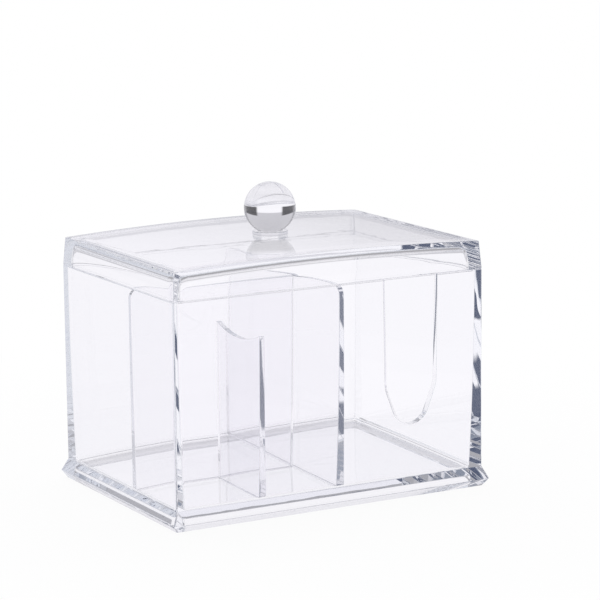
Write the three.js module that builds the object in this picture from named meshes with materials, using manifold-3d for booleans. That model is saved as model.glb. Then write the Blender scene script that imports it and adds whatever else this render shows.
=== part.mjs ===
// Clear acrylic storage box with four open cells and a lift-off lid with a ball knob.
// Millimetres, +Z up. The origin is on the resting plane, under the centre of the box.
// +X runs along the long side, away from the cross divider, and -Y is the front.

import * as THREE from 'three';
import { mergeVertices } from 'three/addons/utils/BufferGeometryUtils.js';
import Module from 'manifold-3d';

const wasm = await Module();
wasm.setup();

// Overall sizes. With the heights below, the top of the ball stands at 130
const plinthLength = 150;
const plinthDepth = 110;

// Plinth, a bevelled band round the foot of the tub
const plinthUndercut = 2.1;
const plinthEdgeHeight = 3.2;
const plinthHeight = 8.4;
const plinthStep = 2.4;
const plinthCornerRadius = 0.8;
const plinthFootWidth = 4.4;
const recessRadius = 2;
const floorThickness = 3.9;

// Tub walls, nearly upright at the rim and flared towards the foot so that the moulding draws
const rimThickness = 2.6;
const footThickness = 4.6;
const wallCornerRadius = 0.7;
const cellCornerRadius = 0.8;
const floorHeight = 7.5;
const floorFillet = 1.5;

// Cells, measured on the flat of the floor
const rightCellWidth = 60;
const frontCellDepth = 35;
const insideHeight = 85;
const dividerTopThickness = 2.2;
const tallFootThickness = 3.7;
const crossFootThickness = 3.4;
const dividerCornerRadius = 4;
const rimAboveDividers = 1.1;

// Low divider between the two front cells, with a dished top edge
const lowFootThickness = 3.1;
const lowDividerDrop = 17;
const dishDepth = 3.6;
const dishEndFlat = 0.8;

// Finger slot through the front wall of the large cell, open at the rim and tapered to a round foot
const slotCentre = 37.7;
const slotTopWidth = 25.6;
const slotBendWidth = 24.2;
const slotBendRise = 39.9;
const slotEase = 2.5;
const slotRadius = 8.4;
const slotSill = 23.6;

// Lid, a shallow moulded cover arched along its length
const skirtHeight = 11.9;
const skirtLean = 0.9;
const lidTopThickness = 3;
const lidCrown = 2.2;
const lidInnerRadius = 3;
const tongueDepth = 1;
const tongueThickness = 1.2;

// Knob, a clear ball on a clear collar
const ballDiameter = 22;
const ballFlat = 1.3;
const collarDiameter = 15;
const collarHeight = 1.9;
const collarEdge = 0.3;
const seatDepth = 0.3;
const spigotDiameter = 5;
const socketFloor = 1;

// Fits: the gap between parts that are bedded or slid together, and the overrun of a cut
const gap = 0.3;
const overrun = 1;

// Counts of flat steps in the round forms
const cornerSteps = 4;
const filletSteps = 4;
const flareSteps = 8;
const lidSideSteps = 12;
const lidCapRings = 4;
const slotSteps = 24;
const dishSteps = 16;
const knobSteps = 48;
const ballSteps = 20;

// Sizes that follow from the ones above
const wallLength = plinthLength - 2 * plinthStep;
const wallDepth = plinthDepth - 2 * plinthStep;
const rimHeight = floorHeight + insideHeight + rimAboveDividers;
const recessHeight = floorHeight - floorThickness;
const cellFloorLength = wallLength - 2 * footThickness;
const cellFloorDepth = wallDepth - 2 * footThickness;
const flatHalfLength = cellFloorLength / 2 - floorFillet;
const flatHalfDepth = cellFloorDepth / 2 - floorFillet;
const tallRightFace = flatHalfLength - rightCellWidth;
const tallLeftFoot = tallRightFace - tallFootThickness;
const crossFrontFace = -flatHalfDepth + frontCellDepth;
const crossBackFoot = crossFrontFace + crossFootThickness;
const lowCentre = (tallLeftFoot - flatHalfLength) / 2;
const dividerTop = floorHeight + insideHeight;
const lowDividerTop = dividerTop - lowDividerDrop;
const skirtTop = rimHeight + skirtHeight;
const crownTop = skirtTop + lidCrown;
const lidHalfLength = wallLength / 2 - skirtLean;
const knobSeat = crownTop - seatDepth;
const collarTop = knobSeat + collarHeight;
const ballRadius = ballDiameter / 2;
const ballCentre = collarTop + ballRadius - ballFlat;
const skirtThickness = rimThickness + gap + tongueThickness;

// Round a rectangle's corners: the same number of points for any size, from the +X side round
function roundedRectangle(halfX, halfY, radius, sideSteps) {
  const points = [];
  const corners = [[1, 1], [-1, 1], [-1, -1], [1, -1]];
  corners.forEach(([signX, signY], corner) => {
    const centre = new THREE.Vector2(signX * (halfX - radius), signY * (halfY - radius));
    for (let step = 0; step <= cornerSteps; step += 1) {
      const angle = (Math.PI / 2) * (corner + step / cornerSteps);
      const arm = new THREE.Vector2(Math.cos(angle), Math.sin(angle)).multiplyScalar(radius);
      points.push(centre.clone().add(arm));
    }
    const [nextX, nextY] = corners[(corner + 1) % corners.length];
    const nextCentre = new THREE.Vector2(nextX * (halfX - radius), nextY * (halfY - radius));
    const arm = new THREE.Vector2(-Math.sin((Math.PI / 2) * corner), Math.cos((Math.PI / 2) * corner));
    const from = centre.clone().addScaledVector(arm, radius);
    const to = nextCentre.clone().addScaledVector(arm, radius);
    for (let step = 1; step < sideSteps; step += 1) {
      points.push(from.clone().lerp(to, step / sideSteps));
    }
  });
  return points;
}

// Join rings of equal length from the lowest to the highest, and close both ends to a centre
function lofted(rings, bottomCentre, topCentre) {
  const count = rings[0].length;
  const vertices = rings.flat().concat([bottomCentre, topCentre]);
  const bottom = rings.length * count;
  const top = bottom + 1;
  const last = (rings.length - 1) * count;
  const index = [];
  for (let step = 0; step < count; step += 1) {
    const next = (step + 1) % count;
    index.push(bottom, next, step);
    index.push(top, last + step, last + next);
    for (let ring = 0; ring < rings.length - 1; ring += 1) {
      const lower = ring * count;
      const upper = lower + count;
      index.push(lower + step, lower + next, upper + next);
      index.push(lower + step, upper + next, upper + step);
    }
  }
  const geometry = new THREE.BufferGeometry().setFromPoints(vertices);
  geometry.setIndex(index);
  return geometry;
}

// A straight-sided solid through sections of { z, halfX, halfY, radius }
function sectioned(sections) {
  const rings = sections.map(({ z, halfX, halfY, radius }) =>
    roundedRectangle(halfX, halfY, radius, 1).map(({ x, y }) => new THREE.Vector3(x, y, z)));
  const low = sections[0].z;
  const high = sections[sections.length - 1].z;
  return lofted(rings, new THREE.Vector3(0, 0, low), new THREE.Vector3(0, 0, high));
}

// A closed geometry as a solid that can be cut and joined
function solid(geometry) {
  const bare = geometry.clone();
  bare.deleteAttribute('normal');
  bare.deleteAttribute('uv');
  const merged = mergeVertices(bare);
  const vertProperties = new Float32Array(merged.attributes.position.array);
  const triVerts = new Uint32Array(merged.index.array);
  return new wasm.Manifold(new wasm.Mesh({ numProp: 3, vertProperties, triVerts }));
}

// A solid back as a geometry
function surface(body) {
  const { vertProperties, triVerts } = body.getMesh();
  const geometry = new THREE.BufferGeometry();
  geometry.setAttribute('position', new THREE.BufferAttribute(new Float32Array(vertProperties), 3));
  geometry.setIndex(new THREE.BufferAttribute(new Uint32Array(triVerts), 1));
  geometry.computeVertexNormals();
  return geometry;
}

// A thickness that is thin over most of a height and flares to its full size at the floor
function flaredThickness(z, top, thin, thick) {
  const drop = THREE.MathUtils.clamp((top - z) / (top - floorHeight), 0, 1);
  return THREE.MathUtils.lerp(thin, thick, drop * drop);
}

// The wall's thickness at a height, from the foot to the rim
function wallThicknessAt(z) {
  return flaredThickness(z, rimHeight, rimThickness, footThickness);
}

// The space inside the tub, held off the walls by a clearance, up to a height above the floor
function cellSpace(clearance, top) {
  const sections = [];
  for (let step = 0; step <= filletSteps; step += 1) {
    const angle = (Math.PI / 2) * (step / filletSteps);
    const z = floorHeight + floorFillet * (1 - Math.cos(angle));
    const inset = wallThicknessAt(z) + floorFillet * (1 - Math.sin(angle)) + clearance;
    sections.push({ z, inset });
  }
  for (let step = 1; step <= flareSteps; step += 1) {
    const z = THREE.MathUtils.lerp(floorHeight + floorFillet, top, step / flareSteps);
    sections.push({ z, inset: wallThicknessAt(z) + clearance });
  }
  return sectioned(sections.map(({ z, inset }) => ({
    z,
    halfX: wallLength / 2 - inset,
    halfY: wallDepth / 2 - inset,
    radius: cellCornerRadius,
  })));
}

// The finger slot's outline: upright sides, an eased bend, and a taper that runs into a round foot
function slotShape() {
  const axis = new THREE.Vector2(0, floorHeight + slotSill + slotRadius);
  const rim = new THREE.Vector2(slotTopWidth / 2, rimHeight + overrun);
  const bend = new THREE.Vector2(slotBendWidth / 2, floorHeight + slotBendRise);
  const arm = bend.clone().sub(axis);
  const touch = arm.angle() - Math.acos(slotRadius / arm.length());
  const foot = new THREE.Vector2(Math.cos(touch), Math.sin(touch)).multiplyScalar(slotRadius).add(axis);
  const above = rim.clone().sub(bend).setLength(slotEase).add(bend);
  const below = foot.clone().sub(bend).setLength(slotEase).add(bend);
  const shape = new THREE.Shape();
  shape.moveTo(-rim.x, rim.y);
  shape.lineTo(-above.x, above.y);
  shape.quadraticCurveTo(-bend.x, bend.y, -below.x, below.y);
  shape.lineTo(-foot.x, foot.y);
  shape.absarc(axis.x, axis.y, slotRadius, Math.PI - touch, 2 * Math.PI + touch, false);
  shape.lineTo(below.x, below.y);
  shape.quadraticCurveTo(bend.x, bend.y, above.x, above.y);
  shape.lineTo(rim.x, rim.y);
  return shape;
}

// Tub: plinth, floor and four walls in one moulding, hollowed below the floor so that it cools evenly
function tubGeometry() {
  const outside = sectioned([
    {
      z: 0,
      halfX: plinthLength / 2 - plinthUndercut,
      halfY: plinthDepth / 2 - plinthUndercut,
      radius: plinthCornerRadius,
    },
    { z: plinthEdgeHeight, halfX: plinthLength / 2, halfY: plinthDepth / 2, radius: plinthCornerRadius },
    { z: plinthHeight, halfX: wallLength / 2, halfY: wallDepth / 2, radius: wallCornerRadius },
    { z: rimHeight, halfX: wallLength / 2, halfY: wallDepth / 2, radius: wallCornerRadius },
  ]);
  const slotCut = new THREE.ExtrudeGeometry(slotShape(), {
    depth: footThickness + 2 * overrun,
    bevelEnabled: false,
    curveSegments: slotSteps,
  });
  slotCut.rotateX(Math.PI / 2).translate(slotCentre, footThickness + overrun - wallDepth / 2, 0);
  const recessInset = plinthUndercut + plinthFootWidth;
  const recess = sectioned([-overrun, recessHeight].map((z) => ({
    z,
    halfX: plinthLength / 2 - recessInset,
    halfY: plinthDepth / 2 - recessInset,
    radius: recessRadius,
  })));
  const space = solid(cellSpace(0, rimHeight + overrun));
  const shell = solid(outside).subtract(space).subtract(solid(recess));
  return surface(shell.subtract(solid(slotCut)));
}

// A panel outline in its own plane, with a rounded top corner beside each wall that it meets
function panelShape(from, to, farRadius) {
  const radius = dividerCornerRadius;
  const shape = new THREE.Shape();
  shape.moveTo(from, floorHeight);
  shape.lineTo(to, floorHeight);
  if (farRadius) {
    shape.lineTo(to, dividerTop - farRadius);
    shape.absarc(to - farRadius, dividerTop - farRadius, farRadius, 0, Math.PI / 2, false);
  } else {
    shape.lineTo(to, dividerTop);
  }
  shape.lineTo(from + radius, dividerTop);
  shape.absarc(from + radius, dividerTop - radius, radius, Math.PI / 2, Math.PI, false);
  return shape;
}

// A plate that flares to its foot, long enough for any panel, with a share of the flare on its near face
function flaredPlate(thick, top, nearShare) {
  const heights = [floorHeight - overrun];
  for (let step = 0; step <= flareSteps; step += 1) {
    heights.push(THREE.MathUtils.lerp(floorHeight, top, step / flareSteps));
  }
  heights.push(top + overrun);
  const rings = heights.map((height) => {
    const thickness = flaredThickness(height, top, dividerTopThickness, thick);
    const near = nearShare * (thick - thickness);
    return [[1, near], [-1, near], [-1, near + thickness], [1, near + thickness]].map(
      ([side, depth]) => new THREE.Vector3(side * wallLength, -depth, height));
  });
  const centres = [rings[0], rings[rings.length - 1]].map(([corner, , opposite]) =>
    corner.clone().lerp(opposite, 1 / 2));
  return lofted(rings, centres[0], centres[1]).rotateX(-Math.PI / 2);
}

// A panel cut to its outline from a flared plate
function draftedPanel(shape, thick, top, nearShare) {
  const outline = new THREE.ExtrudeGeometry(shape, {
    depth: thick + 2 * overrun,
    bevelEnabled: false,
    curveSegments: dishSteps,
  });
  outline.translate(0, 0, -overrun);
  return surface(solid(outline).intersect(solid(flaredPlate(thick, top, nearShare))));
}

// Turn a panel from its own plane to run from front to back, with its near face on the left
function acrossBox(panel, left) {
  return panel.rotateX(Math.PI / 2).rotateZ(Math.PI / 2).translate(left, 0, 0);
}

// Tall divider: the full depth of the box, on the left of the large cell, upright on its right side
function tallDividerGeometry() {
  const reach = wallDepth / 2 - wallThicknessAt(dividerTop) - gap;
  const shape = panelShape(-reach, reach, dividerCornerRadius);
  const plate = acrossBox(draftedPanel(shape, tallFootThickness, dividerTop, 1), tallLeftFoot);
  return surface(solid(plate).intersect(solid(cellSpace(gap, rimHeight))));
}

// Cross divider: from the left wall to the tall divider, upright on its front
function crossDividerGeometry() {
  const reach = wallLength / 2 - wallThicknessAt(dividerTop) - gap;
  const shape = panelShape(-reach, tallRightFace - dividerTopThickness, 0);
  const plate = draftedPanel(shape, crossFootThickness, dividerTop, 1);
  plate.rotateX(Math.PI / 2).translate(0, crossBackFoot, 0);
  const beside = acrossBox(flaredPlate(tallFootThickness, dividerTop, 1), tallLeftFoot - gap);
  const cut = solid(plate).subtract(solid(beside));
  return surface(cut.intersect(solid(cellSpace(gap, rimHeight))));
}

// Low divider: from the front wall to the cross divider, its top edge dished for the fingers
function lowDividerGeometry() {
  const from = -(wallDepth / 2 - wallThicknessAt(lowDividerTop) - gap);
  const to = crossFrontFace - gap;
  const chord = (to - from) / 2 - dishEndFlat;
  const dishRadius = (chord * chord + dishDepth * dishDepth) / (2 * dishDepth);
  const dishCentre = (from + to) / 2;
  const dishHalfAngle = Math.asin(chord / dishRadius);
  const dishAxis = lowDividerTop + dishRadius - dishDepth;
  const shape = new THREE.Shape();
  shape.moveTo(from, floorHeight);
  shape.lineTo(to, floorHeight);
  shape.lineTo(to, lowDividerTop);
  const start = -Math.PI / 2 + dishHalfAngle;
  const end = -Math.PI / 2 - dishHalfAngle;
  shape.absarc(dishCentre, dishAxis, dishRadius, start, end, true);
  shape.lineTo(from, lowDividerTop);
  const panel = draftedPanel(shape, lowFootThickness, lowDividerTop, 1 / 2);
  const plate = acrossBox(panel, lowCentre - lowFootThickness / 2);
  return surface(solid(plate).intersect(solid(cellSpace(gap, rimHeight))));
}

// How far the arch of the lid has risen at a place along its length
function archAt(x) {
  return lidCrown * (1 - (x / lidHalfLength) ** 2);
}

// A solid with a flat foot and an arched top, through sections of { z, halfX, halfY, radius, lift }
function arched(sections) {
  const rings = sections.map(({ z, halfX, halfY, radius, lift }) =>
    roundedRectangle(halfX, halfY, radius, lidSideSteps).map(
      ({ x, y }) => new THREE.Vector3(x, y, z + lift * archAt(x)),
    ));
  const low = sections[0];
  const high = sections[sections.length - 1];
  const brim = rings[rings.length - 1];
  for (let step = 1; step < lidCapRings; step += 1) {
    const reach = 1 - step / lidCapRings;
    rings.push(brim.map(({ x, y }) =>
      new THREE.Vector3(x * reach, y * reach, high.z + high.lift * archAt(x * reach))));
  }
  const topCentre = new THREE.Vector3(0, 0, high.z + high.lift * archAt(0));
  return lofted(rings, new THREE.Vector3(0, 0, low.z), topCentre);
}

// Lid: an arched plate with a skirt that stands on the rim, and a tongue that drops inside it
function lidGeometry() {
  const outside = arched([
    {
      z: rimHeight,
      halfX: wallLength / 2,
      halfY: wallDepth / 2,
      radius: wallCornerRadius,
      lift: 0,
    },
    {
      z: skirtTop,
      halfX: wallLength / 2 - skirtLean,
      halfY: wallDepth / 2 - skirtLean,
      radius: wallCornerRadius,
      lift: 1,
    },
  ]);
  const tongueFoot = rimHeight - tongueDepth;
  const tongueInset = Math.max(wallThicknessAt(tongueFoot), rimThickness) + gap;
  const tongue = sectioned([tongueFoot, rimHeight + overrun].map((z) => ({
    z,
    halfX: wallLength / 2 - tongueInset,
    halfY: wallDepth / 2 - tongueInset,
    radius: cellCornerRadius,
  })));
  const underside = skirtTop - lidTopThickness;
  const hollowSections = [
    { z: tongueFoot - overrun, inset: skirtThickness, lift: 0 },
    { z: rimHeight, inset: skirtThickness, lift: 0 },
  ];
  for (let step = 0; step <= filletSteps; step += 1) {
    const angle = (Math.PI / 2) * (step / filletSteps);
    hollowSections.push({
      z: underside - lidInnerRadius * (1 - Math.sin(angle)),
      inset: skirtThickness + skirtLean + lidInnerRadius * (1 - Math.cos(angle)),
      lift: 1,
    });
  }
  const hollow = arched(hollowSections.map(({ z, inset, lift }) => ({
    z,
    halfX: wallLength / 2 - inset,
    halfY: wallDepth / 2 - inset,
    radius: lidInnerRadius,
    lift,
  })));
  const seat = new THREE.CylinderGeometry(
    collarDiameter / 2 + gap,
    collarDiameter / 2 + gap,
    seatDepth + overrun,
    knobSteps,
  );
  seat.rotateX(Math.PI / 2).translate(0, 0, knobSeat + (seatDepth + overrun) / 2);
  const socketFoot = crownTop - lidTopThickness + socketFloor;
  const socket = new THREE.CylinderGeometry(
    spigotDiameter / 2 + gap,
    spigotDiameter / 2 + gap,
    crownTop + overrun - socketFoot,
    knobSteps,
  );
  socket.rotateX(Math.PI / 2).translate(0, 0, (crownTop + overrun + socketFoot) / 2);
  const shell = solid(outside).add(solid(tongue)).subtract(solid(hollow));
  return surface(shell.subtract(solid(seat)).subtract(solid(socket)));
}

// Collar: a low turned ring that stands in its seat on the crown of the lid
function collarGeometry() {
  const bore = spigotDiameter / 2 + gap;
  const outer = collarDiameter / 2;
  const profile = [
    new THREE.Vector2(bore, knobSeat),
    new THREE.Vector2(outer, knobSeat),
    new THREE.Vector2(outer, collarTop - collarEdge),
    new THREE.Vector2(outer - collarEdge, collarTop),
    new THREE.Vector2(bore, collarTop),
    new THREE.Vector2(bore, knobSeat),
  ];
  return new THREE.LatheGeometry(profile, knobSteps).rotateX(Math.PI / 2);
}

// Ball: a turned ball with a small flat that stands on the collar, and its spigot below
function ballGeometry() {
  const seatRadius = Math.sqrt(ballRadius ** 2 - (ballCentre - collarTop) ** 2);
  const seatAngle = Math.atan2(collarTop - ballCentre, seatRadius);
  const spigotFoot = crownTop - lidTopThickness + socketFloor + gap;
  const profile = [
    new THREE.Vector2(0, spigotFoot),
    new THREE.Vector2(spigotDiameter / 2, spigotFoot),
    new THREE.Vector2(spigotDiameter / 2, collarTop),
  ];
  for (let step = 0; step < ballSteps; step += 1) {
    const angle = THREE.MathUtils.lerp(seatAngle, Math.PI / 2, step / ballSteps);
    const point = new THREE.Vector2(Math.cos(angle), Math.sin(angle)).multiplyScalar(ballRadius);
    profile.push(point.add(new THREE.Vector2(0, ballCentre)));
  }
  profile.push(new THREE.Vector2(0, ballCentre + ballRadius));
  return new THREE.LatheGeometry(profile, knobSteps).rotateX(Math.PI / 2);
}

// Finishes: all of the box is clear acrylic, moulded, cut from sheet or turned and polished
const mouldedClear = new THREE.MeshStandardMaterial({ color: 0xe9e9f2, roughness: 0.05, metalness: 0 });
const sheetClear = new THREE.MeshStandardMaterial({ color: 0xe4e3ef, roughness: 0.06, metalness: 0 });
const turnedClear = new THREE.MeshStandardMaterial({ color: 0xeeeef4, roughness: 0.03, metalness: 0 });

// A named piece in its finish
function piece(name, geometry, material) {
  const mesh = new THREE.Mesh(geometry, material);
  mesh.name = name;
  return mesh;
}

const box = new THREE.Group();
box.add(piece('tub', tubGeometry(), mouldedClear));
box.add(piece('tall_divider', tallDividerGeometry(), sheetClear));
box.add(piece('cross_divider', crossDividerGeometry(), sheetClear));
box.add(piece('low_divider', lowDividerGeometry(), sheetClear));

const cover = new THREE.Group();
cover.add(piece('lid', lidGeometry(), mouldedClear));
cover.add(piece('knob_collar', collarGeometry(), turnedClear));
cover.add(piece('knob_ball', ballGeometry(), turnedClear));
box.add(cover);

export default box;
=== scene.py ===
import math

import bmesh
import bpy
from mathutils import Matrix, Vector


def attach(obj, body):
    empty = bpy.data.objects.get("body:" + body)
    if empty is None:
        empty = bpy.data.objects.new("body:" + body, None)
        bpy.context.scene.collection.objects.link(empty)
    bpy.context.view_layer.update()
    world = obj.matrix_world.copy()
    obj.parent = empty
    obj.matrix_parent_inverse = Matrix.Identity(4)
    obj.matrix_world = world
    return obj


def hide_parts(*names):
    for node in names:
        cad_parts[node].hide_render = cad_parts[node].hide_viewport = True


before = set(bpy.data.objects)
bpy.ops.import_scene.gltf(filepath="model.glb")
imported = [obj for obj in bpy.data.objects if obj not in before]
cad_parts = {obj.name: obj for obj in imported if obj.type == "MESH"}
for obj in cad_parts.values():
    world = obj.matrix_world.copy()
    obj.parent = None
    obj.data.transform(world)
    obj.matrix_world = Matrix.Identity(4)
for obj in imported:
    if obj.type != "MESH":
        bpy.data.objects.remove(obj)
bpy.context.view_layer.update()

# The tub is one moulding in water-clear acrylic: a bevelled plinth, the floor and four walls that
# are nearly upright at the rim and flare towards the foot. Its edges are eased by the mould, and
# the front wall of the large cell has a finger slot.
MM = 0.001  # the box's sizes are in millimetres, and those multiplied by this in metres
weld = 0.002 * MM
mould_ease = 0.25 * MM
plinth_half = (75 * MM, 55 * MM)
floor_height = 7.5
rim_height = 93.6
wall_inset = 2.4
wall_at_rim = 2.6
wall_at_foot = 4.6
floor_fillet = 1.5


def flared(height, top, thin, thick):
    """A thickness that is thin over most of a height and flares to its full size at the floor."""
    drop = min(max((top - height) / (top - floor_height), 0), 1)
    return thin + (thick - thin) * drop ** 2


def wall_thickness(height):
    """The wall's thickness at a height, in millimetres."""
    return flared(height, rim_height, wall_at_rim, wall_at_foot)


tub_profile = [
    # inset from the plinth's edge, height, plan radius of the corner, ease of the edge
    (12.0, 3.6, 2.0, 0.0),
    (6.5, 3.6, 2.0, 0.4),
    (6.5, 0.0, 2.0, 0.2),
    (2.1, 0.0, 0.8, 0.2),
    (0.0, 3.2, 0.8, 0.15),
    (wall_inset, 8.4, 0.7, 0.4),
    (wall_inset, rim_height, 0.7, 0.3),
    (wall_inset + wall_at_rim, rim_height, 0.8, 0.3),
    *((wall_inset + wall_thickness(height), height, 0.8, 0.0) for height in range(88, 10, -6)),
    (wall_inset + wall_at_foot, floor_height, 0.8, floor_fillet),
    (12.0, floor_height, 0.8, 0.0),
]
ease_steps = 5
slot_centre = 37.7
slot_rim = (12.8, 94.6)
slot_bend = (12.1, 47.4)
slot_ease = 2.5
slot_radius = 8.4
slot_axis_height = 39.5
slot_bend_steps = 6
slot_foot_steps = 24
slot_depths = (-60, -45)


def eased(profile):
    """A profile of (inset, height, corner radius, ease) with an arc at each eased corner."""
    points = [profile[0][:3]]
    for before, corner, after in zip(profile, profile[1:], profile[2:]):
        here = Vector(corner[:2])
        back = (Vector(before[:2]) - here).normalized()
        on = (Vector(after[:2]) - here).normalized()
        half = back.angle(on) / 2
        reach = corner[3] / math.tan(half)
        centre = here + (back + on).normalized() * corner[3] / math.sin(half)
        start = here + back * reach - centre
        end = here + on * reach - centre
        turn = start.angle_signed(end) if corner[3] else 0
        for step in range(ease_steps + 1):
            arm = start.copy()
            arm.rotate(Matrix.Rotation(-turn * step / ease_steps, 2))
            points.append((*(centre + arm), corner[2]))
    points.append(profile[-1][:3])
    return points


def rounded_rectangle(half_x, half_y, radius, steps=6):
    """The points round a rectangle with rounded corners, anticlockwise from the right side."""
    points = []
    for quarter, (side_x, side_y) in enumerate(((1, 1), (-1, 1), (-1, -1), (1, -1))):
        for step in range(steps + 1):
            angle = math.pi / 2 * (quarter + step / steps)
            points.append((
                side_x * (half_x - radius) + radius * math.cos(angle),
                side_y * (half_y - radius) + radius * math.sin(angle),
            ))
    return points


def lofted(half_size, profile, shares=()):
    """A closed bmesh through the rings of a profile, with each ring's share of an arch if given."""
    mesh = bmesh.new()
    layer = mesh.verts.layers.float.new("arch_share") if shares else None
    rings = []
    for number, (inset, height, radius) in enumerate(profile):
        half_x, half_y = (half - inset * MM for half in half_size)
        ring = [
            mesh.verts.new((x, y, height * MM))
            for x, y in rounded_rectangle(half_x, half_y, radius * MM)
        ]
        if shares:
            for vert in ring:
                vert[layer] = shares[number]
        rings.append(ring)
    for lower, upper in zip(rings, rings[1:]):
        for step in range(len(lower)):
            ahead = (step + 1) % len(lower)
            mesh.faces.new((lower[step], lower[ahead], upper[ahead], upper[step]))
    mesh.faces.new(reversed(rings[0]))
    mesh.faces.new(rings[-1])
    bmesh.ops.remove_doubles(mesh, verts=mesh.verts, dist=weld)
    bmesh.ops.recalc_face_normals(mesh, faces=mesh.faces)
    return mesh


def placed(name, mesh):
    """A bmesh as an object in the scene."""
    data = bpy.data.meshes.new(name)
    mesh.to_mesh(data)
    mesh.free()
    piece = bpy.data.objects.new(name, data)
    bpy.context.scene.collection.objects.link(piece)
    return piece


def settle(piece):
    """Turn a piece's modifiers into a plain mesh."""
    graph = bpy.context.evaluated_depsgraph_get()
    data = bpy.data.meshes.new_from_object(piece.evaluated_get(graph))
    piece.modifiers.clear()
    piece.data = data
    data.name = piece.name


sharp_angle = math.radians(50)


def polish(piece, ease=0):
    """Ease the sharp edges and smooth the round ones, with the flat faces kept flat."""
    if ease:
        bevel = piece.modifiers.new("edge_ease", "BEVEL")
        bevel.width = ease
        bevel.segments = 3
        bevel.limit_method = "ANGLE"
        bevel.angle_limit = sharp_angle
        bevel.use_clamp_overlap = True
    piece.data.polygons.foreach_set("use_smooth", [True] * len(piece.data.polygons))
    weighted = piece.modifiers.new("flat_faces", "WEIGHTED_NORMAL")
    weighted.weight = 100
    settle(piece)


acrylic_index = 1.49
ripple_detail = 2
rub_scale = 90
rub_detail = 5
rub_stretch = (1, 1, 14)
rub_turn = (0.3, 0.5, 0.2)
rub_limits = (0.58, 0.75)


def surface_group():
    """Ripple and haze of a polished clear surface, as a group that every clear finish places."""
    group = bpy.data.node_groups.new("clear_surface", "ShaderNodeTree")
    sockets = group.interface
    for label, value in (
        ("Ripple Scale", 60.0), ("Ripple Depth", 0.00001), ("Roughness", 0.01), ("Haze", 0.02),
    ):
        socket = sockets.new_socket(label, in_out="INPUT", socket_type="NodeSocketFloat")
        socket.default_value = value
    sockets.new_socket("Roughness", in_out="OUTPUT", socket_type="NodeSocketFloat")
    sockets.new_socket("Normal", in_out="OUTPUT", socket_type="NodeSocketVector")
    nodes, links = group.nodes, group.links
    entry = nodes.new("NodeGroupInput")
    leave = nodes.new("NodeGroupOutput")
    place = nodes.new("ShaderNodeTexCoord")
    ripple = nodes.new("ShaderNodeTexNoise")
    ripple.inputs["Detail"].default_value = ripple_detail
    links.new(place.outputs["Object"], ripple.inputs["Vector"])
    links.new(entry.outputs["Ripple Scale"], ripple.inputs["Scale"])
    bump = nodes.new("ShaderNodeBump")
    links.new(entry.outputs["Ripple Depth"], bump.inputs["Distance"])
    links.new(ripple.outputs["Fac"], bump.inputs["Height"])
    links.new(bump.outputs["Normal"], leave.inputs["Normal"])
    stretched = nodes.new("ShaderNodeMapping")
    stretched.inputs["Scale"].default_value = rub_stretch
    stretched.inputs["Rotation"].default_value = rub_turn
    links.new(place.outputs["Object"], stretched.inputs["Vector"])
    rubs = nodes.new("ShaderNodeTexNoise")
    rubs.inputs["Scale"].default_value = rub_scale
    rubs.inputs["Detail"].default_value = rub_detail
    links.new(stretched.outputs["Vector"], rubs.inputs["Vector"])
    rubbed = nodes.new("ShaderNodeMapRange")
    rubbed.inputs["From Min"].default_value = rub_limits[0]
    rubbed.inputs["From Max"].default_value = rub_limits[1]
    links.new(rubs.outputs["Fac"], rubbed.inputs["Value"])
    haze = nodes.new("ShaderNodeMath")
    haze.operation = "MULTIPLY_ADD"
    links.new(rubbed.outputs["Result"], haze.inputs[0])
    links.new(entry.outputs["Haze"], haze.inputs[1])
    links.new(entry.outputs["Roughness"], haze.inputs[2])
    links.new(haze.outputs["Value"], leave.inputs["Roughness"])
    return group


clear_surface = surface_group()


def clear_finish(name, tint, body_colour, density, ripple_scale, ripple_depth, roughness, haze):
    """A clear acrylic: tinted a little at each face and a little more along its depth."""
    finish = bpy.data.materials.new(name)
    finish.use_nodes = True
    nodes, links = finish.node_tree.nodes, finish.node_tree.links
    shader = nodes["Principled BSDF"]
    shader.inputs["Base Color"].default_value = (*tint, 1)
    shader.inputs["Metallic"].default_value = 0
    shader.inputs["Transmission Weight"].default_value = 1
    shader.inputs["IOR"].default_value = acrylic_index
    surface = nodes.new("ShaderNodeGroup")
    surface.node_tree = clear_surface
    surface.inputs["Ripple Scale"].default_value = ripple_scale
    surface.inputs["Ripple Depth"].default_value = ripple_depth
    surface.inputs["Roughness"].default_value = roughness
    surface.inputs["Haze"].default_value = haze
    links.new(surface.outputs["Roughness"], shader.inputs["Roughness"])
    links.new(surface.outputs["Normal"], shader.inputs["Normal"])
    depth = nodes.new("ShaderNodeVolumeAbsorption")
    depth.inputs["Color"].default_value = (*body_colour, 1)
    depth.inputs["Density"].default_value = density
    links.new(depth.outputs["Volume"], nodes["Material Output"].inputs["Volume"])
    return finish


def slot_outline():
    """One side of the finger slot from the rim to the middle of its foot, in millimetres."""
    rim, bend, axis = Vector(slot_rim), Vector(slot_bend), Vector((0, slot_axis_height))
    arm = bend - axis
    touch = math.atan2(arm.y, arm.x) - math.acos(slot_radius / arm.length)
    above = bend + (rim - bend).normalized() * slot_ease
    foot = axis + Vector((math.cos(touch), math.sin(touch))) * slot_radius
    below = bend + (foot - bend).normalized() * slot_ease
    side = [rim]
    for step in range(slot_bend_steps + 1):
        share = step / slot_bend_steps
        side.append(above.lerp(bend, share).lerp(bend.lerp(below, share), share))
    for step in range(slot_foot_steps + 1):
        angle = touch + (-math.pi / 2 - touch) * step / slot_foot_steps
        side.append(axis + Vector((math.cos(angle), math.sin(angle))) * slot_radius)
    return side


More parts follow.
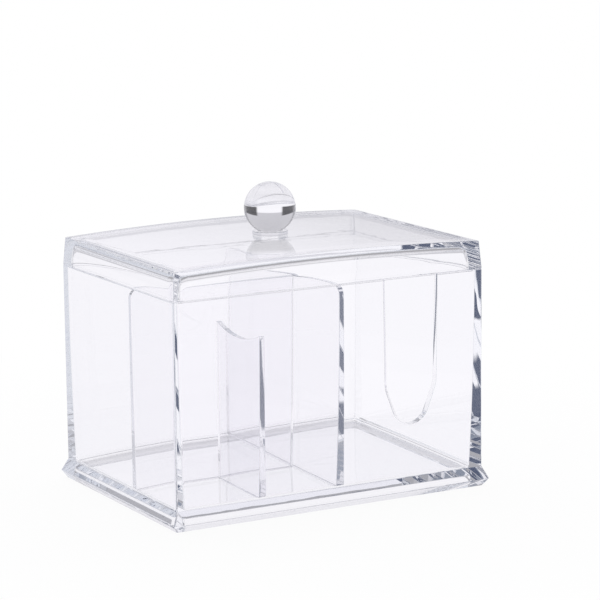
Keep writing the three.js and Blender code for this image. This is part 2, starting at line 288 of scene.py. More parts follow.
def finger_slot_cutter():
    """A prism the shape of the finger slot, reaching through the front wall."""
    mesh = bmesh.new()
    side = slot_outline()
    outline = side + [Vector((-point.x, point.y)) for point in reversed(side[:-1])]
    faces = []
    for depth in slot_depths:
        faces.append([
            mesh.verts.new(Vector((slot_centre + point.x, depth, point.y)) * MM)
            for point in outline
        ])
    for step in range(len(outline)):
        ahead = (step + 1) % len(outline)
        mesh.faces.new((faces[0][step], faces[0][ahead], faces[1][ahead], faces[1][step]))
    mesh.faces.new(faces[0])
    mesh.faces.new(faces[1])
    bmesh.ops.recalc_face_normals(mesh, faces=mesh.faces)
    return placed("finger_slot_cutter", mesh)


moulded_clear = clear_finish(
    "moulded_clear", tint=(0.998, 0.997, 1.0), body_colour=(0.80, 0.83, 0.92), density=2.0,
    ripple_scale=55.0, ripple_depth=0.00002, roughness=0.0, haze=0.02,
)
tub = placed("tub_moulding", lofted(plinth_half, eased(tub_profile)))
cutter = finger_slot_cutter()
cut = tub.modifiers.new("finger_slot", "BOOLEAN")
cut.operation = "DIFFERENCE"
cut.solver = "EXACT"
cut.object = cutter
settle(tub)
bpy.data.objects.remove(cutter)
polish(tub, mould_ease)
tub.data.materials.append(moulded_clear)
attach(tub, "box")
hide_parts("tub")

# The three dividers are clear panels that thin towards their tops. The two high ones are rounded
# off where a top corner meets a wall, and the low one's top edge is dished. They stand on the
# floor, cemented to the walls and to each other.
foot_height = 7.55
divider_top = 92.5
corner_radius = 4.0
panel_top_thickness = 2.2
panel_rows = 16
panel_ease = 0.2 * MM
panel_weld = 0.001 * MM
cement_gap = 0.3
fillet_steps = 4
edge_steps = 12
walls_half = (72.6, 52.6)
tall_left = 2.8
tall_foot = 3.7
cross_front = -8.1
cross_foot = 3.4
low_left = -33.4
low_foot = 3.1
low_top = 75.5
dish_depth = 3.6
dish_shoulder = 0.8
dish_steps = 32


def wall_face(half, height):
    """How far from the middle the edge of a sheet stops short of a leaning wall, at a height."""
    return half - wall_thickness(height) - cement_gap


def edge_up(half, side, top):
    """Points up the edge of a sheet beside a leaning wall, clear of the fillet at the floor."""
    points = []
    for step in range(fillet_steps + 1):
        angle = math.pi / 2 * step / fillet_steps
        height = foot_height + floor_fillet * (1 - math.cos(angle))
        inset = wall_thickness(height) + floor_fillet * (1 - math.sin(angle)) + cement_gap
        points.append((side * (half - inset), height))
    for step in range(1, edge_steps):
        above_fillet = (top - foot_height - floor_fillet) * step / edge_steps
        height = foot_height + floor_fillet + above_fillet
        points.append((side * wall_face(half, height), height))
    points.append((side * wall_face(half, top), top))
    return points


def arc(centre, radius, start, end, steps=12):
    """Points along an arc between two angles in degrees."""
    points = []
    for step in range(steps + 1):
        angle = math.radians(start + (end - start) * step / steps)
        points.append((centre[0] + radius * math.cos(angle), centre[1] + radius * math.sin(angle)))
    return points


def node_maths(tree, operation, first, second=None, clamped=False):
    """One Math node's output, from sockets or plain numbers."""
    node = tree.nodes.new("ShaderNodeMath")
    node.operation = operation
    node.use_clamp = clamped
    for socket, value in zip(node.inputs, (first, second)):
        if isinstance(value, (int, float)):
            socket.default_value = value
        elif value is not None:
            tree.links.new(value, socket)
    return node.outputs["Value"]


def panel_tree():
    """Gives a panel's outline its flared thickness, and turns and places it."""
    tree = bpy.data.node_groups.new("flared_panel", "GeometryNodeTree")
    sockets = tree.interface
    sockets.new_socket("Outline", in_out="INPUT", socket_type="NodeSocketGeometry")
    sockets.new_socket("Foot Thickness", in_out="INPUT", socket_type="NodeSocketFloat")
    sockets.new_socket("Top Thickness", in_out="INPUT", socket_type="NodeSocketFloat")
    sockets.new_socket("Near Side Share", in_out="INPUT", socket_type="NodeSocketFloat")
    sockets.new_socket("Foot Height", in_out="INPUT", socket_type="NodeSocketFloat")
    sockets.new_socket("Top Height", in_out="INPUT", socket_type="NodeSocketFloat")
    sockets.new_socket("Turn", in_out="INPUT", socket_type="NodeSocketRotation")
    sockets.new_socket("Place", in_out="INPUT", socket_type="NodeSocketVector")
    sockets.new_socket("Finish", in_out="INPUT", socket_type="NodeSocketMaterial")
    sockets.new_socket("Panel", in_out="OUTPUT", socket_type="NodeSocketGeometry")
    nodes, links = tree.nodes, tree.links
    entry = nodes.new("NodeGroupInput")
    leave = nodes.new("NodeGroupOutput")
    raised = nodes.new("GeometryNodeExtrudeMesh")
    raised.mode = "FACES"
    up = nodes.new("ShaderNodeCombineXYZ")
    links.new(entry.outputs["Foot Thickness"], up.inputs["Z"])
    links.new(entry.outputs["Outline"], raised.inputs["Mesh"])
    links.new(up.outputs["Vector"], raised.inputs["Offset"])
    raised.inputs["Individual"].default_value = False
    under = nodes.new("GeometryNodeFlipFaces")
    links.new(entry.outputs["Outline"], under.inputs["Mesh"])
    both = nodes.new("GeometryNodeJoinGeometry")
    links.new(raised.outputs["Mesh"], both.inputs["Geometry"])
    links.new(under.outputs["Mesh"], both.inputs["Geometry"])
    closed = nodes.new("GeometryNodeMergeByDistance")
    closed.inputs["Distance"].default_value = panel_weld
    links.new(both.outputs["Geometry"], closed.inputs["Geometry"])
    where = nodes.new("GeometryNodeInputPosition")
    parts = nodes.new("ShaderNodeSeparateXYZ")
    links.new(where.outputs["Position"], parts.inputs["Vector"])
    drop = nodes.new("ShaderNodeMapRange")
    links.new(parts.outputs["Y"], drop.inputs["Value"])
    links.new(entry.outputs["Top Height"], drop.inputs["From Min"])
    links.new(entry.outputs["Foot Height"], drop.inputs["From Max"])
    foot = entry.outputs["Foot Thickness"]
    flare = node_maths(tree, "MULTIPLY", drop.outputs["Result"], drop.outputs["Result"])
    spread = node_maths(tree, "SUBTRACT", foot, entry.outputs["Top Thickness"])
    here = node_maths(
        tree, "ADD", entry.outputs["Top Thickness"], node_maths(tree, "MULTIPLY", spread, flare),
    )
    share = node_maths(tree, "DIVIDE", parts.outputs["Z"], foot)
    thinned = node_maths(tree, "SUBTRACT", foot, here)
    near = node_maths(tree, "MULTIPLY", entry.outputs["Near Side Share"], thinned)
    depth = node_maths(tree, "ADD", near, node_maths(tree, "MULTIPLY", share, here))
    place = nodes.new("ShaderNodeCombineXYZ")
    links.new(parts.outputs["X"], place.inputs["X"])
    links.new(parts.outputs["Y"], place.inputs["Y"])
    links.new(depth, place.inputs["Z"])
    leaning = nodes.new("GeometryNodeSetPosition")
    links.new(closed.outputs["Geometry"], leaning.inputs["Geometry"])
    links.new(place.outputs["Vector"], leaning.inputs["Position"])
    turned = nodes.new("GeometryNodeTransform")
    links.new(leaning.outputs["Geometry"], turned.inputs["Geometry"])
    links.new(entry.outputs["Turn"], turned.inputs["Rotation"])
    links.new(entry.outputs["Place"], turned.inputs["Translation"])
    real = nodes.new("GeometryNodeRealizeInstances")
    links.new(turned.outputs["Geometry"], real.inputs["Geometry"])
    finished = nodes.new("GeometryNodeSetMaterial")
    links.new(real.outputs["Geometry"], finished.inputs["Geometry"])
    links.new(entry.outputs["Finish"], finished.inputs["Material"])
    links.new(finished.outputs["Geometry"], leave.inputs["Panel"])
    return tree


def set_inputs(modifier, values):
    """Give a modifier's named inputs their values."""
    for socket in modifier.node_group.interface.items_tree:
        if getattr(socket, "in_out", "") == "INPUT" and socket.name in values:
            modifier[socket.identifier] = values[socket.name]


def scored(mesh, place, direction):
    """Cut every face of a mesh along a plane, with both halves kept."""
    everything = mesh.verts[:] + mesh.edges[:] + mesh.faces[:]
    bmesh.ops.bisect_plane(mesh, geom=everything, plane_co=place, plane_no=direction)


def divider(name, node, outline, turn, place, foot, near_share):
    """One divider cut to an outline in millimetres, turned and set in its place."""
    mesh = bmesh.new()
    mesh.faces.new([mesh.verts.new((u * MM, v * MM, 0)) for u, v in outline])
    bmesh.ops.remove_doubles(mesh, verts=mesh.verts, dist=weld)
    top = max(v for _, v in outline)
    for row in range(1, panel_rows):
        height = foot_height + (top - foot_height) * row / panel_rows
        scored(mesh, (0, height * MM, 0), (0, 1, 0))
    bmesh.ops.recalc_face_normals(mesh, faces=mesh.faces)
    if next(iter(mesh.faces)).normal.z < 0:
        bmesh.ops.reverse_faces(mesh, faces=mesh.faces)
    piece = placed(name, mesh)
    cutting = piece.modifiers.new("flared_panel", "NODES")
    cutting.node_group = flared_panel
    set_inputs(cutting, {
        "Foot Thickness": foot * MM,
        "Top Thickness": panel_top_thickness * MM,
        "Near Side Share": near_share,
        "Foot Height": foot_height * MM,
        "Top Height": top * MM,
        "Turn": turn,
        "Place": [part * MM for part in place],
        "Finish": sheet_clear,
    })
    settle(piece)
    polish(piece, panel_ease)
    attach(piece, "box")
    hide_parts(node)


flared_panel = panel_tree()
sheet_clear = clear_finish(
    "sheet_clear", tint=(0.975, 0.97, 0.985), body_colour=(0.80, 0.83, 0.92), density=2.0,
    ripple_scale=30.0, ripple_depth=0.00001, roughness=0.0, haze=0.02,
)
across = (math.pi / 2, 0, math.pi / 2)
along = (math.pi / 2, 0, 0)
length_half, depth_half = walls_half
shoulder = divider_top - corner_radius

reach = wall_face(depth_half, shoulder) - corner_radius
tall_outline = (
    edge_up(depth_half, 1, shoulder)
    + arc((reach, shoulder), corner_radius, 0, 90)
    + arc((-reach, shoulder), corner_radius, 90, 180)
    + edge_up(depth_half, -1, shoulder)[::-1]
)
divider(
    "tall_divider_panel", "tall_divider", tall_outline, across, (tall_left, 0, 0),
    foot=tall_foot, near_share=1.0,
)

reach = wall_face(length_half, shoulder) - corner_radius
beside_tall = []
for step in range(edge_steps + 1):
    height = foot_height + (divider_top - foot_height) * step / edge_steps
    thickness = flared(height, divider_top, panel_top_thickness, tall_foot)
    beside_tall.append((tall_left + tall_foot - thickness - cement_gap, height))
cross_outline = (
    beside_tall
    + arc((-reach, shoulder), corner_radius, 90, 180)
    + edge_up(length_half, -1, shoulder)[::-1]
)
divider(
    "cross_divider_panel", "cross_divider", cross_outline, along, (0, cross_front, 0),
    foot=cross_foot, near_share=1.0,
)

dish_from = -wall_face(depth_half, low_top)
dish_to = cross_front - cross_foot - cement_gap
chord = (dish_to - dish_from) / 2 - dish_shoulder
dish_radius = (chord ** 2 + dish_depth ** 2) / (2 * dish_depth)
dish_half = math.degrees(math.asin(chord / dish_radius))
dish_centre = ((dish_from + dish_to) / 2, low_top + dish_radius - dish_depth)
low_outline = (
    [(dish_to, foot_height), (dish_to, low_top)]
    + arc(dish_centre, dish_radius, 270 + dish_half, 270 - dish_half, dish_steps)
    + edge_up(depth_half, -1, low_top)[::-1]
)
divider(
    "low_divider_panel", "low_divider", low_outline, across, (low_left, 0, 0),
    foot=low_foot, near_share=0.5,
)

# The lid is a second clear moulding: a plate arched along its length, a skirt that stands on the
# rim, and a tongue inside the skirt that drops between the walls and keeps it in place. Nothing
# fastens it: it is lifted off by its knob.
lid_half = [half * MM for half in walls_half]
lid_crown = 2.2 * MM
lid_arch_half = 71.7 * MM
lid_profile = [
    # inset from the skirt's foot, height, plan radius of the corner, ease, share of the arch
    (14.0, 102.5, 3.0, 0.0, 1.0),
    (5.2, 102.5, 3.0, 3.0, 1.0),
    (4.1, 96.0, 3.0, 30.0, 0.4),
    (4.1, 92.6, 3.0, 0.2, 0.0),
    (2.95, 92.6, 0.8, 0.2, 0.0),
    (2.95, 93.7, 0.8, 0.1, 0.0),
    (0.0, 93.7, 0.7, 0.2, 0.0),
    (0.9, 105.5, 0.7, 0.3, 1.0),
    (14.0, 105.5, 0.7, 0.0, 1.0),
]
arch_strips = 48


def arch_tree():
    """Lifts each point by its share of an arch along X."""
    tree = bpy.data.node_groups.new("arch", "GeometryNodeTree")
    sockets = tree.interface
    sockets.new_socket("Flat", in_out="INPUT", socket_type="NodeSocketGeometry")
    sockets.new_socket("Crown", in_out="INPUT", socket_type="NodeSocketFloat")
    sockets.new_socket("Half Length", in_out="INPUT", socket_type="NodeSocketFloat")
    sockets.new_socket("Finish", in_out="INPUT", socket_type="NodeSocketMaterial")
    sockets.new_socket("Arched", in_out="OUTPUT", socket_type="NodeSocketGeometry")
    nodes, links = tree.nodes, tree.links
    entry = nodes.new("NodeGroupInput")
    leave = nodes.new("NodeGroupOutput")
    where = nodes.new("GeometryNodeInputPosition")
    parts = nodes.new("ShaderNodeSeparateXYZ")
    links.new(where.outputs["Position"], parts.inputs["Vector"])
    share = nodes.new("GeometryNodeInputNamedAttribute")
    share.data_type = "FLOAT"
    share.inputs["Name"].default_value = "arch_share"
    from_middle = node_maths(tree, "DIVIDE", parts.outputs["X"], entry.outputs["Half Length"])
    fall = node_maths(tree, "MULTIPLY", from_middle, from_middle)
    rise = node_maths(tree, "SUBTRACT", 1.0, fall)
    full_lift = node_maths(tree, "MULTIPLY", rise, entry.outputs["Crown"])
    lift = node_maths(tree, "MULTIPLY", full_lift, share.outputs["Attribute"])
    offset = nodes.new("ShaderNodeCombineXYZ")
    links.new(lift, offset.inputs["Z"])
    moved = nodes.new("GeometryNodeSetPosition")
    links.new(entry.outputs["Flat"], moved.inputs["Geometry"])
    links.new(offset.outputs["Vector"], moved.inputs["Offset"])
    real = nodes.new("GeometryNodeRealizeInstances")
    links.new(moved.outputs["Geometry"], real.inputs["Geometry"])
    finished = nodes.new("GeometryNodeSetMaterial")
    links.new(real.outputs["Geometry"], finished.inputs["Geometry"])
    links.new(entry.outputs["Finish"], finished.inputs["Material"])
    links.new(finished.outputs["Geometry"], leave.inputs["Arched"])
    return tree


def flat_lid():
    """The lid before it is arched, in strips along its length."""
    first, *corners, last = (corner[4] for corner in lid_profile)
    shares = [first, *(share for share in corners for _ in range(ease_steps + 1)), last]
    mesh = lofted(lid_half, eased([corner[:4] for corner in lid_profile]), shares)
    for step in range(1, arch_strips):
        station = lid_half[0] * (2 * step / arch_strips - 1)
        scored(mesh, (station, 0, 0), (1, 0, 0))
    return placed("lid_moulding", mesh)


lid = flat_lid()
arching = lid.modifiers.new("arch", "NODES")
arching.node_group = arch_tree()
set_inputs(arching, {"Crown": lid_crown, "Half Length": lid_arch_half, "Finish": moulded_clear})
settle(lid)
polish(lid)
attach(lid, "cover")
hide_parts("lid")

# The knob is a clear ball on a low collar, both turned from clear rod and polished. The ball has a
# small flat where it stands, and clear cement holds it and the collar to the crown of the lid.
ball_radius = 11.0
ball_centre = 119.0
ball_steps = 64
ball_gap = 0.05
collar_foot = 107.75
collar_top = 109.25
around = 96
fine_weld = 0.0005 * MM


def turned_tree():
    """Spins a profile in the XZ plane round the Z axis."""
    tree = bpy.data.node_groups.new("turned", "GeometryNodeTree")
    sockets = tree.interface
    sockets.new_socket("Profile", in_out="INPUT", socket_type="NodeSocketGeometry")
    sockets.new_socket("Steps Around", in_out="INPUT", socket_type="NodeSocketInt")
    sockets.new_socket("Finish", in_out="INPUT", socket_type="NodeSocketMaterial")
    sockets.new_socket("Turned", in_out="OUTPUT", socket_type="NodeSocketGeometry")
    nodes, links = tree.nodes, tree.links
    entry = nodes.new("NodeGroupInput")
    leave = nodes.new("NodeGroupOutput")
    size = nodes.new("GeometryNodeAttributeDomainSize")
    size.component = "MESH"
    links.new(entry.outputs["Profile"], size.inputs["Geometry"])
    rows = size.outputs["Point Count"]
    steps_around = entry.outputs["Steps Around"]
    columns = node_maths(tree, "ADD", steps_around, 1)
    skin = nodes.new("GeometryNodeMeshGrid")
    links.new(columns, skin.inputs["Vertices X"])
    links.new(rows, skin.inputs["Vertices Y"])
    index = nodes.new("GeometryNodeInputIndex").outputs["Index"]
    past_rows = node_maths(tree, "DIVIDE", node_maths(tree, "ADD", index, 0.5), rows)
    column = node_maths(tree, "FLOOR", past_rows)
    row = node_maths(tree, "SUBTRACT", index, node_maths(tree, "MULTIPLY", column, rows))
    share_around = node_maths(tree, "DIVIDE", column, steps_around)
    angle = node_maths(tree, "MULTIPLY", share_around, 2 * math.pi)
    where = nodes.new("GeometryNodeInputPosition")
    picked = nodes.new("GeometryNodeSampleIndex")
    picked.data_type = "FLOAT_VECTOR"
    picked.domain = "POINT"
    links.new(entry.outputs["Profile"], picked.inputs["Geometry"])
    links.new(where.outputs["Position"], picked.inputs["Value"])
    links.new(row, picked.inputs["Index"])
    spun = nodes.new("ShaderNodeVectorRotate")
    spun.rotation_type = "Z_AXIS"
    links.new(picked.outputs["Value"], spun.inputs["Vector"])
    links.new(angle, spun.inputs["Angle"])
    moved = nodes.new("GeometryNodeSetPosition")
    links.new(skin.outputs["Mesh"], moved.inputs["Geometry"])
    links.new(spun.outputs["Vector"], moved.inputs["Position"])
    closed = nodes.new("GeometryNodeMergeByDistance")
    closed.inputs["Distance"].default_value = fine_weld
    links.new(moved.outputs["Geometry"], closed.inputs["Geometry"])
    real = nodes.new("GeometryNodeRealizeInstances")
    links.new(closed.outputs["Geometry"], real.inputs["Geometry"])
    finished = nodes.new("GeometryNodeSetMaterial")
    links.new(real.outputs["Geometry"], finished.inputs["Geometry"])
    links.new(entry.outputs["Finish"], finished.inputs["Material"])
    links.new(finished.outputs["Geometry"], leave.inputs["Turned"])
    return tree


def turned_piece(name, node, profile):
    """One turned piece from its profile of (radius, height) in millimetres."""
    mesh = bmesh.new()
    points = [mesh.verts.new((radius * MM, 0, height * MM)) for radius, height in profile]
    for first, second in zip(points, points[1:]):
        mesh.edges.new((first, second))
    piece = placed(name, mesh)
    spinning = piece.modifiers.new("turned", "NODES")
    spinning.node_group = turned
    set_inputs(spinning, {"Steps Around": around, "Finish": turned_clear})
    settle(piece)
    mesh = bmesh.new()
    mesh.from_mesh(piece.data)
    bmesh.ops.dissolve_degenerate(mesh, edges=mesh.edges, dist=fine_weld)
    bmesh.ops.recalc_face_normals(mesh, faces=mesh.faces)
    mesh.to_mesh(piece.data)
    mesh.free()
    polish(piece)
    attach(piece, "cover")
    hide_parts(node)


turned_clear = clear_finish(
    "turned_clear", tint=(0.998, 0.997, 1.0), body_colour=(0.85, 0.86, 0.95), density=3.0,
    ripple_scale=150.0, ripple_depth=0.000004, roughness=0.0, haze=0.01,
)
turned = turned_tree()
collar_profile = [
    # radius, height: the ring's outer edges are eased, the upper one more
    (0, collar_foot), (7.3, collar_foot), (7.45, collar_foot + 0.04), (7.5, collar_foot + 0.15),
    (7.5, collar_top - 0.35), (7.44, collar_top - 0.14), (7.3, collar_top - 0.03),
    (7.15, collar_top), (0, collar_top),
]
turned_piece("knob_collar_ring", "knob_collar", collar_profile)

flat_height = collar_top + ball_gap
flat_angle = math.degrees(math.asin((flat_height - ball_centre) / ball_radius))
ball_profile = [(0, flat_height)] + arc((0, ball_centre), ball_radius, flat_angle, 90, ball_steps)
ball_profile[-1] = (0, ball_centre + ball_radius)
turned_piece("knob_ball_turned", "knob_ball", ball_profile)

# The floor is a plain pale disc that fades to the white of the background, with the box's soft
# shadow left on it. To mirrored rays it shows painted reflections: a strip of paper that fans out
# towards the back, a painted dark and grey studio beside it and, after many mirrorings, one painted
# dark block on it behind the box.
floor_radius = 0.55  # the floor's sizes are in metres
floor_drop = 0.1 * MM
floor_white = 0.96
floor_fade = (0.10, 0.30)
# The tones that mirrored rays see on the floor are painted reflections: the paper strip, and a
# painted dark or grey studio beside it.
paper_half_width = 0.10
paper_edge = 0.010
paper_fan = 0.08
paper_turn = math.radians(29)
paper_tone = (0.970, 0.962, 1.0)
dark_tone = (0.060, 0.080, 0.145)
front_tone = 0.72
front_line = (-0.08, 0.02)
# A painted dark block behind the box, seen only by rays mirrored many times, paints dark blocks
# into the clear mouldings' deep reflections.
block_left = (-0.082, -0.074)
block_front = (0.058, 0.066)
block_back = (0.128, 0.138)
block_mirrorings = 5.5
full_dark_mirrorings = 2.5
# Rays mirrored this many times see a painted even grey-blue reflection tone on the floor and in the
# studio.
deep_reflection_mirrorings = (14.0, 22.0)
deep_reflection_tone = (0.74, 0.755, 0.80)
falling = (1.0, 0.0)  # for a range that goes down from one instead of up to it


def floor_disc():
    """A flat disc just under the resting plane."""
    mesh = bmesh.new()
    bmesh.ops.create_circle(mesh, cap_ends=True, radius=floor_radius, segments=96)
    bmesh.ops.translate(mesh, verts=mesh.verts, vec=(0, 0, -floor_drop))
    return placed("floor", mesh)


def ranged(tree, value, limits, results=(0.0, 1.0)):
    """A value carried smoothly from one range to another."""
    node = tree.nodes.new("ShaderNodeMapRange")
    node.interpolation_type = "SMOOTHSTEP"
    tree.links.new(value, node.inputs["Value"])
    labels = ("From Min", "From Max", "To Min", "To Max")
    for label, number in zip(labels, (*limits, *results)):
        node.inputs[label].default_value = number
    return node.outputs["Result"]


def beside_and_behind(tree, vector):
    """How far a point or direction lies to the right of the paper's middle, and behind it."""
    turn = tree.nodes.new("ShaderNodeVectorRotate")
    turn.rotation_type = "Z_AXIS"
    turn.inputs["Angle"].default_value = paper_turn
    tree.links.new(vector, turn.inputs["Vector"])
    parts = tree.nodes.new("ShaderNodeSeparateXYZ")
    tree.links.new(turn.outputs["Vector"], parts.inputs["Vector"])
    return parts.outputs["X"], parts.outputs["Y"]


def colour_mix(tree, share, first, second):
    """A mix of two colours, from sockets or plain numbers."""
    node = tree.nodes.new("ShaderNodeMix")
    node.data_type = "RGBA"
    tree.links.new(share, node.inputs["Factor"])
    for label, value in (("A", first), ("B", second)):
        socket = next(
            entry for entry in node.inputs if entry.name == label and entry.type == "RGBA"
        )
        if isinstance(value, (tuple, list)):
            socket.default_value = (*value, 1)
        else:
            tree.links.new(value, socket)
    return next(entry for entry in node.outputs if entry.type == "RGBA")


def mirrored_share(tree, path):
    """How far a ray shows the dark sides: more the more often it was mirrored."""
    share = node_maths(tree, "DIVIDE", path.outputs["Glossy Depth"], full_dark_mirrorings)
    return node_maths(tree, "MULTIPLY", share, share, clamped=True)


def painted_deep_reflection(tree, path, tone):
    """A painted reflection tone that evens out for rays mirrored many times, standing in for the
    acrylic's haze.
    """
    share = ranged(tree, path.outputs["Glossy Depth"], deep_reflection_mirrorings)
    return colour_mix(tree, share, tone, deep_reflection_tone)


def pale_floor_with_painted_reflections():
    """A pale matt paper that shows its tones by itself, with painted reflections, and a little of
    the box's shadow.
    """
    finish = bpy.data.materials.new("pale_floor")
    finish.use_nodes = True
    tree = finish.node_tree
    nodes, links = tree.nodes, tree.links
    paper = nodes["Principled BSDF"]
    paper.inputs["Base Color"].default_value = (0.86, 0.86, 0.87, 1)
    paper.inputs["Roughness"].default_value = 0.9
    paper.inputs["Specular IOR Level"].default_value = 0.0
    path = nodes.new("ShaderNodeLightPath")
    place = nodes.new("ShaderNodeTexCoord")
    distance = nodes.new("ShaderNodeVectorMath")
    distance.operation = "LENGTH"
    links.new(place.outputs["Object"], distance.inputs[0])
    fade = ranged(tree, distance.outputs["Value"], floor_fade, (floor_white, 1.0))
    by_clear_piece = node_maths(
        tree, "MAXIMUM", path.outputs["Is Glossy Ray"], path.outputs["Is Transmission Ray"],
    )
    seen = node_maths(tree, "MAXIMUM", path.outputs["Is Camera Ray"], by_clear_piece)
    # Beside the paper, and on the block, the floor shows mirrored rays a painted dark tone: painted
    # dark reflections.
    right, behind = beside_and_behind(tree, place.outputs["Object"])
    beside = node_maths(tree, "ABSOLUTE", right)
    spread = node_maths(tree, "SUBTRACT", beside, node_maths(tree, "MULTIPLY", behind, paper_fan))
    edge = (paper_half_width, paper_half_width + paper_edge)
    past_paper = ranged(tree, spread, edge)
    past_front = ranged(tree, behind, block_front)
    before_back = ranged(tree, behind, block_back, falling)
    block_depth = node_maths(tree, "MULTIPLY", past_front, before_back)
    block = node_maths(tree, "MULTIPLY", ranged(tree, right, block_left), block_depth)
    often = node_maths(tree, "GREATER_THAN", path.outputs["Glossy Depth"], block_mirrorings)
    on_painted_block = node_maths(tree, "MULTIPLY", block, often)
    off_paper = node_maths(tree, "MAXIMUM", past_paper, on_painted_block)
    ahead = ranged(tree, behind, front_line, falling)
    side_tone = colour_mix(tree, ahead, dark_tone, [front_tone] * 3)
    painted_side_share = node_maths(tree, "MULTIPLY", off_paper, mirrored_share(tree, path))
    tone = painted_deep_reflection(tree, path, colour_mix(tree, painted_side_share, paper_tone, side_tone))
    seen_tone = nodes.new("ShaderNodeEmission")
    camera_tone = colour_mix(tree, path.outputs["Is Camera Ray"], tone, (1, 1, 1))
    links.new(camera_tone, seen_tone.inputs["Color"])
    seen_tone.inputs["Strength"].default_value = 1
    mixed = nodes.new("ShaderNodeMixShader")
    links.new(node_maths(tree, "MULTIPLY", fade, seen), mixed.inputs["Fac"])
    links.new(paper.outputs["BSDF"], mixed.inputs[1])
    links.new(seen_tone.outputs["Emission"], mixed.inputs[2])
    links.new(mixed.outputs["Shader"], nodes["Material Output"].inputs["Surface"])
    return finish


floor = floor_disc()
floor.data.materials.append(pale_floor_with_painted_reflections())

# The light is a plain studio: a white sweep behind the box, a grey ceiling with one large soft box
# in it, and dark walls to either side. Mirrored rays see the walls at any height; straight rays
# see them through one piece only, from just below the horizon up, which marks the knob's sides.
world = bpy.data.worlds.new("studio")
bpy.context.scene.world = world
world.use_nodes = True
side_haze = (0.24, 0.27, 0.34)
side_limits = (0.30, 0.38)
front_limits = (-0.2, 0.1)
straight_front_limits = (0.48, 0.64)
horizon_limits = (-0.17, -0.14)
one_piece_depth = 2.5
first_mirroring = 0.5
tone_tint = (0.985, 0.975, 1.04)


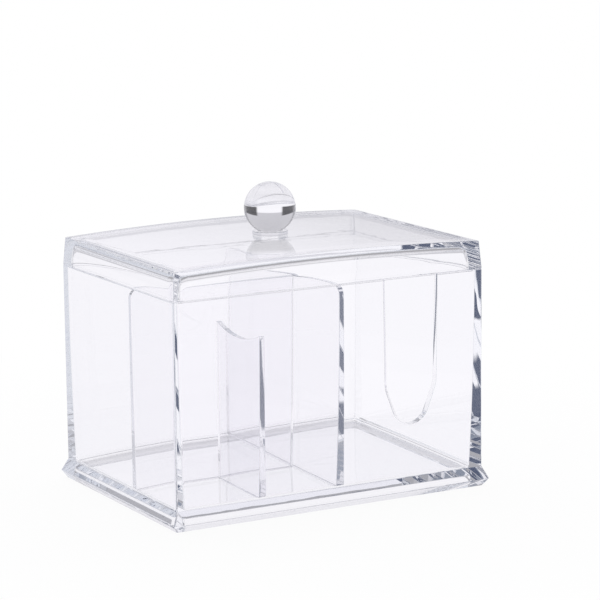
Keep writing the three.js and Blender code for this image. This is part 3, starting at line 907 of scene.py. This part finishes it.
def studio_light():
    """White where the camera looks, and the studio's own tones for light, gloss and glass."""
    tree = world.node_tree
    nodes, links = tree.nodes, tree.links
    seen = nodes["Background"]
    seen.inputs["Color"].default_value = (1, 1, 1, 1)
    seen.inputs["Strength"].default_value = 1
    place = nodes.new("ShaderNodeTexCoord")
    parts = nodes.new("ShaderNodeSeparateXYZ")
    links.new(place.outputs["Generated"], parts.inputs["Vector"])

    def tones_up(*stops):
        """A ramp of tones by the sine of the height above the horizon."""
        ramp_node = nodes.new("ShaderNodeValToRGB")
        ramp = ramp_node.color_ramp
        while len(ramp.elements) < len(stops):
            ramp.elements.new(0.5)
        for element, (sine, tone) in zip(ramp.elements, stops):
            element.position = (sine + 1) / 2
            if not isinstance(tone, tuple):
                tone = tuple(min(tone * tint, 1) for tint in tone_tint)
            element.color = (*tone, 1)
        links.new(half_height, ramp_node.inputs["Fac"])
        return ramp_node.outputs["Color"]

    half_height = node_maths(
        tree, "MULTIPLY", node_maths(tree, "ADD", parts.outputs["Z"], 1.0), 0.5,
    )
    path = nodes.new("ShaderNodeLightPath")
    straight = node_maths(tree, "LESS_THAN", path.outputs["Glossy Depth"], first_mirroring)
    middle = colour_mix(
        tree, straight,
        tones_up(
            (-1, 1), (0.0, 1), (0.03, 0.68), (0.12, 0.68), (0.22, 0.90), (0.28, 0.90), (0.45, 0.42),
            (1, 0.34),
        ),
        tones_up((-1, paper_tone), (-0.02, paper_tone), (0.0, 0.60), (1, 0.55)),
    )
    back = colour_mix(
        tree, straight,
        tones_up(
            (-1, dark_tone), (0.05, dark_tone), (0.10, side_haze), (0.30, side_haze), (0.45, 0.42),
            (1, 0.36),
        ),
        tones_up((-1, 0.07), (0.08, 0.07), (0.10, 0.60), (1, 0.55)),
    )
    front = colour_mix(
        tree, straight,
        tones_up((-1, front_tone), (0.0, front_tone), (0.05, 0.5), (1, 0.4)),
        tones_up((-1, 0.20), (1, 0.20)),
    )
    right, behind = beside_and_behind(tree, place.outputs["Generated"])
    beside = node_maths(tree, "ABSOLUTE", right)
    not_low = ranged(tree, parts.outputs["Z"], horizon_limits)
    once = node_maths(tree, "LESS_THAN", path.outputs["Transmission Depth"], one_piece_depth)
    in_knob = node_maths(tree, "MULTIPLY", once, not_low)
    straight_share = node_maths(tree, "MULTIPLY", straight, in_knob)
    share = node_maths(tree, "MAXIMUM", mirrored_share(tree, path), straight_share)
    to_side = node_maths(tree, "MULTIPLY", ranged(tree, beside, side_limits), share)
    straight_ahead = ranged(tree, behind, straight_front_limits, falling)
    ahead = node_maths(
        tree, "MAXIMUM", ranged(tree, behind, front_limits, falling),
        node_maths(tree, "MULTIPLY", straight, straight_ahead),
    )
    side_tone = colour_mix(tree, ahead, back, front)
    toned = painted_deep_reflection(tree, path, colour_mix(tree, to_side, middle, side_tone))
    lit = nodes.new("ShaderNodeBackground")
    lit.inputs["Strength"].default_value = 1
    links.new(toned, lit.inputs["Color"])
    mixed = nodes.new("ShaderNodeMixShader")
    links.new(path.outputs["Is Camera Ray"], mixed.inputs["Fac"])
    links.new(lit.outputs["Background"], mixed.inputs[1])
    links.new(seen.outputs["Background"], mixed.inputs[2])
    links.new(mixed.outputs["Shader"], nodes["World Output"].inputs["Surface"])


studio_light()


def soft_box(name, place, target, width, depth, power):
    """One large soft lamp aimed at the box."""
    lamp = bpy.data.lights.new(name, "AREA")
    lamp.shape = "RECTANGLE"
    lamp.size = width
    lamp.size_y = depth
    lamp.energy = power
    holder = bpy.data.objects.new(name, lamp)
    holder.location = place
    holder.rotation_euler = (Vector(target) - Vector(place)).to_track_quat("-Z", "Y").to_euler()
    holder.visible_glossy = False
    holder.visible_transmission = False
    bpy.context.scene.collection.objects.link(holder)


soft_box(
    "overhead_soft_box", place=(0.1, 0.25, 1.2), target=(0, 0, 0.05), width=0.9, depth=0.7, power=9,
)

# The camera stands to the front left and a little above the box, as for the photograph. Rays are
# followed through many bounces, because the edge of a clear wall mirrors them dozens of times.
camera_target = Vector((14.1, 0, 77.8)) * MM
camera_distance = 1154 * MM
camera_azimuth = math.radians(-29.06)
camera_height = math.radians(10.62)
camera_roll = math.radians(0.62)
sensor_width = 36
focal_length_px = 2700
frame_width_px = 600
light_bounces = 96

view = bpy.data.cameras.new("camera")
view.lens = focal_length_px * sensor_width / frame_width_px
view.sensor_width = sensor_width
view.clip_start = 0.01
camera = bpy.data.objects.new("camera", view)
away = Vector((
    math.sin(camera_azimuth) * math.cos(camera_height),
    -math.cos(camera_azimuth) * math.cos(camera_height),
    math.sin(camera_height),
))
facing = away.to_track_quat("Z", "Y").to_matrix() @ Matrix.Rotation(-camera_roll, 3, "Z")
camera.matrix_world = Matrix.Translation(camera_target + away * camera_distance) @ facing.to_4x4()
bpy.context.scene.collection.objects.link(camera)
bpy.context.scene.camera = camera

scene = bpy.context.scene
scene.view_settings.view_transform = "Standard"
scene.cycles.max_bounces = light_bounces
scene.cycles.transmission_bounces = light_bounces
scene.cycles.glossy_bounces = light_bounces
